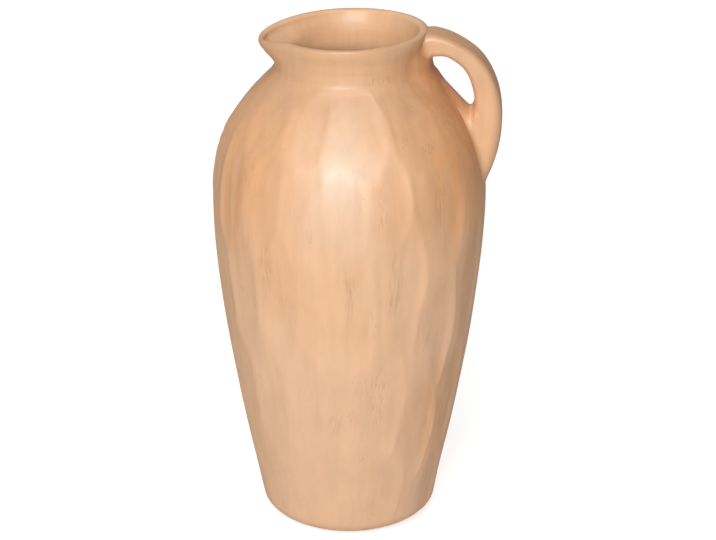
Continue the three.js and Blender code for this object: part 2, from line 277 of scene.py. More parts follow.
# Each drawn scoop has thrown up a burr along its right edge, BURR high for a scoop BURR_FULL_DEPTH deep and
# in proportion for the others. Another scoop that went over it has flattened it. BURR_TURN says which way
# the burr faces at two heights: a little below sideways low down, and over the scoop's top at the shoulder,
# where there is more room for it to stand proud
BURR = 0.31 * MM
BURR_REACH = 1.22
BURR_WIDTH = 0.09
BURR_FULL_DEPTH = 1.5 * MM
BURR_FLATTENED = 0.4 * MM
BURR_ROOM = 0.4 * MM
BURR_ROOM_LOW = 255 * MM
BURR_ROOM_HIGH = 285 * MM
BURR_TURN = [(140 * MM, math.radians(-12)), (300 * MM, math.radians(52))]

# What the hand's unsteadiness does: it shifts the scoops, leaves the whole skin uneven and a little under
# its outline, and leaves fine strokes in the scoops. Each size is how far apart the lumps are, in millimetres
WANDER_SIZE = (30, 30, 45)
WANDER_ACROSS = 2 * MM
WANDER_UP = 2.5 * MM
UNEVEN_SIZE = (42, 42, 60)
UNEVEN = 0.45 * MM
SKIN_SINK = 0.25 * MM
PLANING_SIZE = (5, 5, 55)
PLANING = 0.07 * MM

# Rings left by the fingers on the neck and inside: their height from one to the next, and how far they stand
RING_STEP = 7.5 * MM
RING = 0.12 * MM
FINE_RING_STEP = 2.9 * MM
FINE_RING = 0.05 * MM

# The throat takes on a brighter tint between these: painted light, which lifts the inside out of its shade
THROAT_TINT_BELOW_RIM = 50 * MM
THROAT_BRIGHT_BELOW_RIM = 20 * MM

# Patches on the wall, each as the angle round the vase and the height of its middle, and its half width and
# half height, in degrees and millimetres. First the paler ones: the one on the front shoulder is a painted
# highlight, and the one on the far side a paler patch of the clay
HIGHLIGHT_BLOOM_PATCHES = [
    (-91, 264, 52, 70),
    (62, 262, 46, 60),
]

# The redder ones: the two on the upper flanks and the low one on the right are painted shade, where the sides
# turn from the light, and the one on the far side a redder patch of the clay
SHADE_FLUSH_PATCHES = [
    (-142, 250, 44, 72),
    (-34, 252, 44, 72),
    (-36, 92, 40, 60),
    (104, 240, 46, 70),
]

# The ones where the clay tore as the thumb dragged over it
DRAG_PATCHES = [
    (-72, 250, 5, 26),
    (-66, 197, 8, 36),
    (-71, 115, 11, 32),
    (-86, 193, 6, 34),
    (-123, 205, 8, 28),
    (-95, 95, 9, 14),
    (-45, 279, 8, 5),
    (-117, 287, 7, 9),
    (-44, 245, 9, 30),
    (-134, 262, 7, 14),
    (-150, 165, 8, 30),
    (-48, 300, 9, 8),
    (-60, 319, 14, 5),
    (-138, 318, 8, 5),
    (20, 250, 7, 28),
    (38, 110, 10, 30),
    (70, 200, 8, 34),
    (96, 272, 9, 12),
    (118, 150, 9, 34),
    (150, 240, 7, 30),
    (172, 120, 9, 30),
]

belly_height = RIM_HEIGHT - BELLY_BELOW_RIM
shoulder_height = RIM_HEIGHT - SHOULDER_BELOW_RIM
neck_height = RIM_HEIGHT - NECK_BELOW_RIM
lip_height = RIM_HEIGHT - LIP_THICKNESS / 2
ledge_height = RIM_HEIGHT - LEDGE_BELOW_RIM


def smoothstep(low, high, value):
    share = np.clip((value - low) / (high - low), 0, 1)
    return share * share * (3 - 2 * share)


def towards_rim(low, high, height):
    """From 0 to 1 as the height goes from low to high, which are both measured down from the rim."""
    return smoothstep(RIM_HEIGHT - low, RIM_HEIGHT - high, height)


def on_body(height):
    """1 on the scooped body and 0 on the neck above the ledge."""
    return 1 - smoothstep(ledge_height - SCOOPS_FADE_BELOW, ledge_height + SCOOPS_FADE_ABOVE, height)


def hill(distance):
    """A smooth bump: 1 at distance 0 and 0 from distance 1 on."""
    away = np.clip(np.abs(distance), 0, 1)
    return (1 - away) ** 2 * (1 + 2 * away)


def along(start, slope, distance):
    return np.array([start[0] + distance * math.cos(slope), start[1] + distance * math.sin(slope)])


def bezier(points, count):
    t = np.linspace(0, 1, count)[:, None]
    a, b, c, d = points
    return (1 - t) ** 3 * a + 3 * (1 - t) ** 2 * t * b + 3 * (1 - t) * t ** 2 * c + t ** 3 * d


def outline():
    """The outside outline as points (radius, height) from the foot to the lip, following the slopes."""
    upright = math.pi / 2
    shoulder = math.pi - SHOULDER_SLOPE
    stations = [
        ((FOOT_RADIUS, 0), FOOT_SLOPE, 0, FOOT_RUN),
        ((HEEL_RADIUS, HEEL_HEIGHT), LOWER_WALL_SLOPE, HEEL_RUN, LOWER_WALL_RUN),
        ((BELLY_RADIUS, belly_height), upright, UNDER_BELLY_RUN, OVER_BELLY_RUN),
        ((SHOULDER_RADIUS, shoulder_height), shoulder, SHOULDER_RUN, NECK_BASE_RUN),
        ((NECK_RADIUS, neck_height), upright, NECK_FOOT_RUN, NECK_RUN),
        ((RIM_RADIUS, lip_height), RIM_SLOPE, RIM_RUN, 0),
    ]
    pieces = []
    for low, high in zip(stations, stations[1:]):
        points = [np.array(low[0]), along(low[0], low[1], low[3]),
                  along(high[0], high[1], -high[2]), np.array(high[0])]
        pieces.append(bezier(points, 80)[1 if pieces else 0:])
    return np.vstack(pieces)


def inset(points, thickness):
    """The same outline moved square to itself, into the clay."""
    tangent = np.gradient(points, axis=0)
    tangent /= np.linalg.norm(tangent, axis=1)[:, None]
    return points + thickness * np.stack([-tangent[:, 1], tangent[:, 0]], axis=1)


def spaced(points, step):
    """The same line with points about a step apart along it."""
    lengths = np.concatenate([[0], np.cumsum(np.linalg.norm(np.diff(points, axis=0), axis=1))])
    count = max(2, round(lengths[-1] / step) + 1)
    places = np.linspace(0, lengths[-1], count)
    return np.stack([np.interp(places, lengths, points[:, axis]) for axis in range(points.shape[1])], axis=1)


outer_points = outline()
inner_points = inset(outer_points, WALL)


def outer_radius(height):
    return np.interp(height, outer_points[:, 1], outer_points[:, 0])


def place_scoops():
    """Every scoop as (angle, height, half width, half height, depth, wall radius there)."""
    far = []
    for row, (up, half_height, depth) in enumerate(BACK_ROWS):
        for index in range(BACK_COUNT):
            wander = BACK_WANDER * math.sin(5 * index + 3 * row)
            angle = BACK_START + BACK_STEP * index + BACK_STAGGER * (row % 2) + wander
            far.append((angle, up, BACK_HALF_WIDTH, half_height + wander, depth))
    placed = []
    for angle, up, half_width, half_height, depth in FRONT_SCOOPS + far:
        height = HEEL_HEIGHT + up * (neck_height - HEEL_HEIGHT)
        placed.append((math.radians(angle), height, SCOOP_REACH * half_width * MM,
                       SCOOP_REACH * half_height * MM, SCOOP_DEPTH * depth * MM, outer_radius(height)))
    return placed


scoops = place_scoops()


def turn_between(a, b):
    return np.arctan2(np.sin(a - b), np.cos(a - b))


def scoop_relief(angle, height):
    """How deep the thumb pressed at each point, and how high the burrs stand along the scoops' edges."""
    total = np.zeros_like(angle)
    burrs = np.zeros_like(angle)
    for middle, level, half_width, half_height, depth, radius in scoops:
        across = turn_between(angle, middle) * radius / half_width
        up = (height - level) / half_height
        drawn = smoothstep(STRAIGHT_ANGLE, DRAWN_ANGLE, middle)
        leaned = across - SCOOP_LEAN * drawn * np.clip(1 - across ** 2, 0, None)
        reach = np.sqrt(leaned ** 2 + up ** 2)
        total += (depth / MM / (1 + reach ** SCOOP_EDGE)) ** RIDGE_POWER
        side = np.interp(level, *zip(*BURR_TURN))
        facing = (across * math.cos(side) + up * math.sin(side)) / np.maximum(reach, 0.1)
        burr = np.exp(-((reach - BURR_REACH) / BURR_WIDTH) ** 2) * smoothstep(0.1, 0.9, facing)
        burrs = np.maximum(burrs, drawn * burr * depth / BURR_FULL_DEPTH)
    pressed = total ** (1 / RIDGE_POWER) * MM - SCOOP_LEVEL
    return pressed, burrs * BURR * np.exp(-np.clip(pressed, 0, None) / BURR_FLATTENED)


def noise_at(points, size, seed):
    """Smooth noise from -1 to 1 at each point; size is how far apart its lumps are, along x, y and z."""
    shift = Vector((seed * 17.3, seed * 5.1, seed * 9.7))
    scaled = points / (np.array(size) * MM)
    return np.array([noise.noise(Vector(point) + shift) for point in scaled])


def polar(points):
    return np.arctan2(points[:, 1], points[:, 0]), np.hypot(points[:, 0], points[:, 1]), points[:, 2]


def smeared_swell(angle, height):
    """How far the clay that was smeared down from the strap's root stands off the neck and shoulder."""
    drop = np.clip(RIM_HEIGHT - SWELL_BELOW_RIM - height, 0, None)
    buried = towards_rim(SWELL_FULL_BELOW_RIM, SWELL_GONE_BELOW_RIM, height)
    across = 1 - smoothstep(0.3, 1, np.abs(turn_between(angle, 0)) / SWELL_HALF_ANGLE)
    return SWELL * np.exp(-drop / SWELL_FADE) * (1 - buried) * across


def slip_and_shade_share(angle, height):
    """Where the redder, darker patch lies round the strap's root and down the shoulder under it: painted
    shade.
    """
    spread = smoothstep(ledge_height, ledge_height + SLIP_SPREAD_HEIGHT, height)
    half_angle = SLIP_HALF_ANGLE + SLIP_SPREAD * spread
    across = 1 - smoothstep(0.35, 1, np.abs(turn_between(angle, 0)) / half_angle)
    down = towards_rim(SLIP_END_BELOW_RIM, SLIP_FULL_BELOW_RIM, height)
    return across * down * (1 - towards_rim(SLIP_TOP_BELOW_RIM, SLIP_GONE_BELOW_RIM, height))


def throwing_rings(angle, height):
    """Fine rings that the fingers leave as the clay turns: a slow spiral with a finer one on it."""
    coarse = np.sin(2 * math.pi * height / RING_STEP + angle)
    fine = np.sin(2 * math.pi * height / FINE_RING_STEP + 2 * angle + 1.5)
    return RING * coarse + FINE_RING * fine


def lip_moves(angle, height, outside):
    """How far the lip and the rim's tilt move each point outwards and upwards."""
    turned = turn_between(angle, LIP_ANGLE)
    share = hill(turned / np.where(turned > 0, LIP_FRONT_ANGLE, LIP_BACK_ANGLE))
    climb = np.clip(1 - (RIM_HEIGHT - height) / LIP_START_BELOW_RIM, 0, 1)
    swell = climb * (2 - climb)
    channel = smoothstep(RIM_HEIGHT - CHANNEL_BELOW_RIM, lip_height, height)
    pull = share * (outside * swell + (1 - outside) * LIP_THINNING * channel)
    rise = towards_rim(RISE_BELOW_RIM, 0, height)
    return LIP_PULL * pull, RIM_RISE * rise * np.cos(angle) - LIP_DROP * share * rise


def shape_by_hand(points, outside):
    """Moves turned points to where the hand leaves them. outside is 1 on the outer skin, 0 on the inner."""
    angle, radius, height = polar(points)
    drift = noise_at(points, WANDER_SIZE, 1) * WANDER_ACROSS
    lift = noise_at(points, WANDER_SIZE, 2) * WANDER_UP
    pressed, burrs = scoop_relief(angle + drift / radius, height + lift)
    uneven = noise_at(points, UNEVEN_SIZE, 3) * UNEVEN - SKIN_SINK
    planed = noise_at(points, PLANING_SIZE, 4) * PLANING
    body = on_body(height)
    above_foot = smoothstep(0, FOOT_EASE, height)
    in_front = BEAD_MEAN + BEAD_SWING * np.cos(angle - BEAD_FRONT_ANGLE)
    bead = LEDGE_BEAD * hill((height - ledge_height) / LEDGE_HALF_HEIGHT) * in_front
    bare = np.clip(1 - SLIP_FILLING * slip_and_shade_share(angle, height), 0, 1)
    proud = SCOOP_LEVEL + BURR_ROOM * smoothstep(BURR_ROOM_LOW, BURR_ROOM_HIGH, height)
    carved = np.minimum(burrs - pressed, proud)
    skin = outside * above_foot * (bare * (body * (planed + carved) + bead) + uneven)
    rings = throwing_rings(angle, height) * np.maximum(1 - body, 1 - outside) * above_foot
    outwards, upwards = lip_moves(angle, height, outside)
    moved = radius + outwards + skin + rings + outside * smeared_swell(angle, height)
    return np.stack([moved * np.cos(angle), moved * np.sin(angle), height + upwards], axis=1)


def lip_section():
    """The rim's edge: square-shouldered outside and round inside."""
    half = LIP_THICKNESS / 2
    turn = np.linspace(0, math.pi, LIP_STEPS + 1)[1:]
    power = np.where(np.cos(turn) > 0, LIP_OUTER_SQUARENESS, LIP_INNER_SQUARENESS)
    across = np.sign(np.cos(turn)) * np.abs(np.cos(turn)) ** power
    return np.stack([RIM_RADIUS - half + half * across, lip_height + half * np.sin(turn) ** power], axis=1)


def wall_profile():
    """The wall's section, from the foot's edge up the outside, over the lip and down the inside."""
    skin = spaced(outer_points, SKIN_STEP)
    lip = lip_section()
    low = FLOOR_THICKNESS + FLOOR_FILLET
    high = lip_height - LIP_INSIDE_DROP
    down = inner_points[(inner_points[:, 1] < high) & (inner_points[:, 1] > low)][::-1]
    throat_end = RIM_HEIGHT - THROAT_DEPTH
    throat = spaced(np.vstack([lip[-1:], down[down[:, 1] > throat_end]]), THROAT_STEP)[1:]
    inside = spaced(down[down[:, 1] <= throat_end], INSIDE_STEP)
    bend = np.linspace(0, math.pi / 2, 5)[1:]
    corner = inside[-1]
    fillet = corner - FLOOR_FILLET * np.stack([1 - np.cos(bend), np.sin(bend)], axis=1)
    seat = np.array([(FOOT_RADIUS, FLOOR_THICKNESS), (FOOT_RADIUS, SEAT_HEIGHT)])
    return np.vstack([skin, lip, throat, inside, fillet, seat])


def mesh_object(name, bm):
    mesh = bpy.data.meshes.new(name)
    bm.to_mesh(mesh)
    bm.free()
    mesh.shade_smooth()
    piece = bpy.data.objects.new(name, mesh)
    bpy.context.scene.collection.objects.link(piece)
    return piece


def vertex_array(mesh):
    flat = np.empty(len(mesh.vertices) * 3)
    mesh.vertices.foreach_get("co", flat)
    return flat.reshape(-1, 3)


def set_vertices(mesh, points):
    mesh.vertices.foreach_set("co", points.ravel())
    mesh.update()


def paint(mesh, name, values):
    """Stores one number per vertex, for a material to read."""
    mesh.attributes.new(name, "FLOAT", "POINT").data.foreach_set("value", values)


def patches(places, angle, height):
    """A number per point that rises to 1 in the middle of each patch."""
    marks = np.zeros_like(angle)
    for middle, level, half_width, half_height in places:
        level *= MM
        across = turn_between(angle, math.radians(middle)) * outer_radius(level) / (half_width * MM)
        up = (height - level) / (half_height * MM)
        marks = np.maximum(marks, hill(np.sqrt(across ** 2 + up ** 2)))
    return marks


def thrown_wall():
    """The whole wall, spun on the wheel and then shaped by hand."""
    bm = bmesh.new()
    verts = [bm.verts.new((radius, 0, height)) for radius, height in wall_profile()]
    edges = [bm.edges.new(pair) for pair in zip(verts, verts[1:] + verts[:1])]
    bmesh.ops.spin(bm, geom=verts + edges, axis=(0, 0, 1), cent=(0, 0, 0), angle=2 * math.pi,
                   steps=TURN_STEPS, use_merge=True)
    bmesh.ops.remove_doubles(bm, verts=bm.verts, dist=0.01 * MM)
    bmesh.ops.recalc_face_normals(bm, faces=bm.faces)
    piece = mesh_object("thrown_wall", bm)
    points = vertex_array(piece.data)
    angle, radius, height = polar(points)
    outside = smoothstep(0.3, 0.9, 1 - (outer_radius(height) - radius) / WALL)
    # The patch round the strap's root and the redder flanks are painted shade, the paler front shoulder a
    # painted highlight, and the throat's brighter tint painted light
    paint(piece.data, "drag", patches(DRAG_PATCHES, angle, height) * outside)
    paint(piece.data, "highlight_bloom", patches(HIGHLIGHT_BLOOM_PATCHES, angle, height) * outside)
    paint(piece.data, "shade_flush", patches(SHADE_FLUSH_PATCHES, angle, height) * outside)
    neck = smoothstep(ledge_height, ledge_height + NECK_EASE, height)
    paint(piece.data, "wheel", np.maximum(neck, 1 - outside))
    paint(piece.data, "slip_and_shade", slip_and_shade_share(angle, height) * outside)
    throat = towards_rim(THROAT_TINT_BELOW_RIM, THROAT_BRIGHT_BELOW_RIM, height)
    paint(piece.data, "throat", throat * (1 - outside))
    set_vertices(piece.data, shape_by_hand(points, outside))
    return piece


def foot_disc():
    """The disc of clay under the wall, cut from the wheel with a twisted wire."""
    bm = bmesh.new()
    bmesh.ops.create_circle(bm, cap_ends=True, radius=FOOT_RADIUS - DISC_SIDE_GAP, segments=120)
    raised = bmesh.ops.extrude_face_region(bm, geom=bm.faces[:])
    top = [item for item in raised["geom"] if isinstance(item, bmesh.types.BMVert)]
    bmesh.ops.translate(bm, verts=top, vec=(0, 0, FLOOR_THICKNESS - DISC_TOP_GAP))
    rims = [edge for edge in bm.edges if len(edge.link_faces) == 2 and edge.calc_face_angle() > 1]
    bmesh.ops.bevel(bm, geom=rims, offset=DISC_EDGE, segments=3, profile=0.5, affect="EDGES", material=-1)
    bmesh.ops.recalc_face_normals(bm, faces=bm.faces)
    return mesh_object("foot_disc", bm)


def catmull_rom(points, per_span):
    """A centripetal curve through the points, as the strap is bent."""
    points = np.array(points, float)
    points = np.vstack([2 * points[0] - points[1], points, 2 * points[-1] - points[-2]])
    line = []
    for a, b, c, d in zip(points, points[1:], points[2:], points[3:]):
        knots = np.cumsum([0] + [np.linalg.norm(q - p) ** 0.5 for p, q in ((a, b), (b, c), (c, d))])
        t = np.linspace(knots[1], knots[2], per_span, endpoint=False)[:, None]
        ab = ((knots[1] - t) * a + (t - knots[0]) * b) / (knots[1] - knots[0])
        bc = ((knots[2] - t) * b + (t - knots[1]) * c) / (knots[2] - knots[1])
        cd = ((knots[3] - t) * c + (t - knots[2]) * d) / (knots[3] - knots[2])
        abc = ((knots[2] - t) * ab + (t - knots[0]) * bc) / (knots[2] - knots[0])
        bcd = ((knots[3] - t) * bc + (t - knots[1]) * cd) / (knots[3] - knots[1])
        line.append(((knots[2] - t) * abc + (t - knots[1]) * bcd) / (knots[2] - knots[1]))
    return np.vstack(line + [points[-2:-1]])


def strap_line():
    """The strap's centre line in (x, z): out of the neck, round the bend and down into the wall."""
    top = RIM_HEIGHT - STRAP_TOP_BELOW_RIM
    bend = RIM_HEIGHT - STRAP_BEND_BELOW_RIM
    foot = RIM_HEIGHT - STRAP_FOOT_BELOW_RIM
    tail = foot - STRAP_TAIL
    root = NECK_RADIUS - WALL / 2
    reach = outer_radius(bend) + STRAP_STANDOFF
    foot_radius = outer_radius(foot) - STRAP_FOOT_SINK
    points = [(root + across * (reach - root), top + down * (bend - top))
              for across, down in STRAP_UPPER_POINTS]
    across, up = STRAP_LOWER_POINT
    points += [
        (foot_radius + across * (reach - foot_radius), foot + up * (bend - foot)),
        (foot_radius, foot),
        (outer_radius(tail) - STRAP_ROOT_THICKNESS, tail),
    ]
    return spaced(catmull_rom(points, 30), STRAP_STEP)


def strap_half_thickness(share):
    """Half the strap's thickness at a share of its length."""
    root = (STRAP_ROOT_THICKNESS - STRAP_BEND_THICKNESS) * (1 - smoothstep(0.03, 0.16, share))
    foot = (STRAP_FOOT_THICKNESS - STRAP_BEND_THICKNESS) * smoothstep(0.18, 0.58, share)
    return (STRAP_BEND_THICKNESS + root + foot) / 2


def skin_radius(angle, height):
    """The scooped wall's radius, without the finer unevenness."""
    pressed, _ = scoop_relief(angle, height)
    return outer_radius(height) - pressed * on_body(height) + smeared_swell(angle, height)


def wall_gap(points):
    """How far each point stands off the wall, and the wall's normal there."""
    angle, radius, height = polar(points)
    step = 0.5 * MM
    slope = (outer_radius(height + step) - outer_radius(height - step)) / (2 * step)
    lean = 1 / np.sqrt(1 + slope ** 2)
    normal = np.stack([np.cos(angle) * lean, np.sin(angle) * lean, -slope * lean], axis=1)
    return (radius - skin_radius(angle, height)) * lean, normal


def keep_in_clay(points):
    """Lifts what reaches more than ROOT_DEPTH into the wall back to that depth."""
    gap, normal = wall_gap(points)
    return points + normal * np.clip(-ROOT_DEPTH - gap, 0, None)[:, None]


def loft(bm, rings):
    """A closed solid through the rings, which all have the same number of points."""
    start = bmesh.ops.create_circle(bm, cap_ends=True, radius=1, segments=len(rings[0]))["verts"]
    face = start[0].link_faces[0]
    for index, ring in enumerate(rings):
        if index > 0:
            grown = bmesh.ops.extrude_face_region(bm, geom=[face], use_keep_orig=index == 1)["geom"]
            face = next(item for item in grown if isinstance(item, bmesh.types.BMFace))
        for v, place in zip(face.verts, ring):
            v.co = place


def add_strap(bm):
    """The pulled strap: a section with crisp outer corners, which get rounder towards its foot."""
    line = strap_line()
    tangent = np.gradient(line, axis=0)
    tangent /= np.linalg.norm(tangent, axis=1)[:, None]
    turn = 2 * math.pi * (np.arange(STRAP_SIDES) + 0.5) / STRAP_SIDES
    across, sideways = np.cos(turn), np.sin(turn)
    rings = []
    for index, ((x, z), (tx, tz)) in enumerate(zip(line, tangent)):
        share = index / (len(line) - 1)
        half = strap_half_thickness(share)
        softened = (STRAP_FOOT_CORNER - STRAP_OUTER_CORNER) * smoothstep(0.35, 0.72, share)
        corner = np.where(across < 0, STRAP_OUTER_CORNER + softened, STRAP_INNER_CORNER)
        thick = np.sign(across) * (half - corner) + across * corner
        wide = np.sign(sideways) * (STRAP_WIDTH / 2 - corner) + sideways * corner
        rings.append(keep_in_clay(np.stack([x + tz * thick, wide, z - tx * thick], axis=1)))
    loft(bm, rings)


def add_web(bm):
    """The wedge of clay between wall and strap foot, as wide as the strap and arched across its top."""
    top = RIM_HEIGHT - WEB_TOP_BELOW_RIM
    line = strap_line()
    below = line[(line[:, 1] < top) & (np.arange(len(line)) > len(line) // 3)]
    lowest = below[0, 0] - strap_half_thickness(0.5) - WEB_BOW_WIDTH
    wall = np.linspace(below[-1, 1], top + WEB_SHOULDER, WEB_WALL_POINTS)

    def top_line(x):
        on_wall = np.hypot(np.clip(lowest - x, 0, None) * WEB_SHOULDER_SLOPE, WEB_TIP) - WEB_TIP
        on_strap = WEB_BOW * np.clip((x - lowest) / WEB_BOW_WIDTH, 0, 1) ** 2
        return top + np.minimum(on_wall, WEB_SHOULDER) + on_strap

    across = np.linspace(outer_radius(wall[-1]) - ROOT_DEPTH, below[0, 0], WEB_TOP_POINTS)
    section = np.vstack([np.stack([across, top_line(across)], axis=1), below,
                         np.stack([outer_radius(wall) - ROOT_DEPTH, wall], axis=1)])
    rings = []
    for share in np.cos(np.linspace(0, math.pi, WEB_STEPS)):
        limit = top_line(section[:, 0]) - WEB_ARCH * (1 - math.sqrt(1 - share ** 2))
        y = np.full(len(section), share * (STRAP_WIDTH / 2 - WEB_SIDE_GAP))
        rings.append(np.stack([section[:, 0], y, np.minimum(section[:, 1], limit)], axis=1))
    loft(bm, rings)


def add_smear(bm, low, high, half_angle):
    """A thin patch of clay just under the wall's skin, which the crooks are eased into."""
    grid = bmesh.ops.create_grid(bm, x_segments=SMEAR_CELLS, y_segments=SMEAR_CELLS, size=1)["verts"]
    unit = np.array([v.co[:2] for v in grid])
    angle = unit[:, 0] * half_angle
    height = low + (unit[:, 1] + 1) / 2 * (high - low)
    radius = outer_radius(height)
    turned_points = np.stack([radius * np.cos(angle), radius * np.sin(angle), height], axis=1)
    places = shape_by_hand(turned_points, np.ones(len(turned_points)))
    edge = 1 - np.max(np.abs(unit), axis=1)
    sink = SMEAR_SINK + SMEAR_EDGE_SINK * (1 - smoothstep(0, 0.12, edge))
    radius = np.hypot(places[:, 0], places[:, 1])
    places[:, :2] *= ((radius - sink) / radius)[:, None]
    for v, place in zip(grid, places):
        v.co = place
    faces = list({face for v in grid for face in v.link_faces})
    thick = bmesh.ops.extrude_face_region(bm, geom=faces)["geom"]
    for v in thick:
        if isinstance(v, bmesh.types.BMVert):
            reach = math.hypot(v.co.x, v.co.y)
            v.co.x *= (reach - SMEAR_THICKNESS) / reach
            v.co.y *= (reach - SMEAR_THICKNESS) / reach


def remeshed(piece, voxel):
    """Joins the piece's overlapping lumps into one skin."""
    modifier = piece.modifiers.new("join", "REMESH")
    modifier.mode = "VOXEL"
    modifier.voxel_size = voxel
    modifier.use_smooth_shade = True
    joined = bpy.data.meshes.new_from_object(piece.evaluated_get(bpy.context.evaluated_depsgraph_get()))
    piece.modifiers.clear()
    piece.data = joined


def ease(mesh, weights, passes):
    """Smooths the mesh where the weights say, as a wet finger does."""
    points = vertex_array(mesh)
    pairs = np.empty(len(mesh.edges) * 2, dtype=np.int64)
    mesh.edges.foreach_get("vertices", pairs)
    pairs = pairs.reshape(-1, 2)
    count = np.bincount(pairs.ravel(), minlength=len(points))[:, None]
    for _ in range(passes):
        total = np.stack([np.bincount(pairs[:, 0], points[pairs[:, 1], axis], len(points))
                          + np.bincount(pairs[:, 1], points[pairs[:, 0], axis], len(points))
                          for axis in range(3)], axis=1)
        points += weights[:, None] * (total / count - points)
    set_vertices(mesh, points)


def strap_slip_and_shade(mesh):
    """How much of the redder colour covers each point of the handle: the wall's painted shade near it, and
    the strap's own coat, which is painted shade on its back.
    """
    points = vertex_array(mesh)
    gap, _ = wall_gap(points)
    angle, _, height = polar(points)
    close = hill(np.clip(gap, 0, None) / SLIP_CREEP)
    normals = np.empty(points.size)
    mesh.vertices.foreach_get("normal", normals)
    # The strap's back faces away from the light, so it gets more of the redder colour: painted shade
    back = smoothstep(0.2, 0.8, normals.reshape(-1, 3) @ STRAP_BACK)
    return np.maximum(slip_and_shade_share(angle, height) * close, STRAP_SLIP + STRAP_BACK_SHADE * back)


def luted_handle():
    """The strap and its wads, joined, eased into the wall and tidied with a wet finger."""
    bm = bmesh.new()
    add_strap(bm)
    add_web(bm)
    add_smear(bm, RIM_HEIGHT - ROOT_SMEAR_BELOW_RIM, lip_height, ROOT_SMEAR_HALF_ANGLE)
    foot_top = RIM_HEIGHT - FOOT_SMEAR_TOP_BELOW_RIM
    add_smear(bm, RIM_HEIGHT - FOOT_SMEAR_BELOW_RIM, foot_top, FOOT_SMEAR_HALF_ANGLE)
    bmesh.ops.recalc_face_normals(bm, faces=bm.faces)
    piece = mesh_object("luted_handle", bm)
    remeshed(piece, VOXEL)
    gap, _ = wall_gap(vertex_array(piece.data))
    above = hill(np.clip(gap - CROOK_START, 0, None) / CROOK_EASE)
    near = above * smoothstep(-CROOK_DEEPEST, -CROOK_START, gap)
    ease(piece.data, CROOK_WEIGHT * near, CROOK_PASSES)
    ease(piece.data, np.full(len(gap), TIDY_WEIGHT), TIDY_PASSES)
    # The handle gets the wall's painted shade near the wall and on its back, and a little of the painted
    # highlight's paler colour
    paint(piece.data, "slip_and_shade", strap_slip_and_shade(piece.data))
    for name, value in (("drag", 0.05), ("wheel", 0.0), ("highlight_bloom", 0.1), ("shade_flush", 0.0), ("throat", 0.0)):
        paint(piece.data, name, np.full(len(gap), value))
    return piece


# Materials

def srgb(red, green, blue):
    """A colour as it looks on a screen, 0 to 255, as the linear colour that a shader takes."""
    parts = [value / 255 for value in (red, green, blue)]
    linear = [part / 12.92 if part <= 0.04045 else ((part + 0.055) / 1.055) ** 2.4 for part in parts]
    return (*linear, 1)


def grey(value):
    return (value, value, value, 1)


# The body's clay from its warmest tan to its palest, between two heights, and its darker neck. The paler tans
# low down are a painted reflection of the white floor, and the darker neck is painted shade under the rim
TANS = [(0.3, srgb(218, 164, 117)), (0.5, srgb(223, 172, 128)), (0.8, srgb(226, 180, 140)),
        (1, srgb(227, 182, 143))]
PALE_BELOW = 90 * MM
WARM_ABOVE = 270 * MM
NECK_SHADE_LOW = 286 * MM
NECK_SHADE_HIGH = 312 * MM
NECK_SHADE = 0.88

# What covers or marks it, and the painted light in it: painted shade, a painted highlight and painted light
# in the throat
THROAT_LIT_TAN = srgb(233, 185, 143)
SLIP_SHADE_RED = srgb(204, 143, 95)
HIGHLIGHT_PALE = srgb(224, 197, 172)
SHADE_OCHRE = srgb(218, 150, 88)
TORN_BROWN = srgb(196, 142, 104)
HAIRLINE_BROWN = srgb(190, 135, 98)
PIT_BROWN = srgb(188, 134, 98)

# The foot's clay
FOOT_TANS = [(0.3, srgb(205, 156, 116)), (0.7, srgb(222, 178, 140))]

# How deep the marks look
GRAIN = 0.012 * MM
STROKES = 0.045 * MM
TURNED_LINES = 0.1 * MM
CUTS = 0.13 * MM
WIRE_MARKS = 0.25 * MM
GRIT = 0.12 * MM


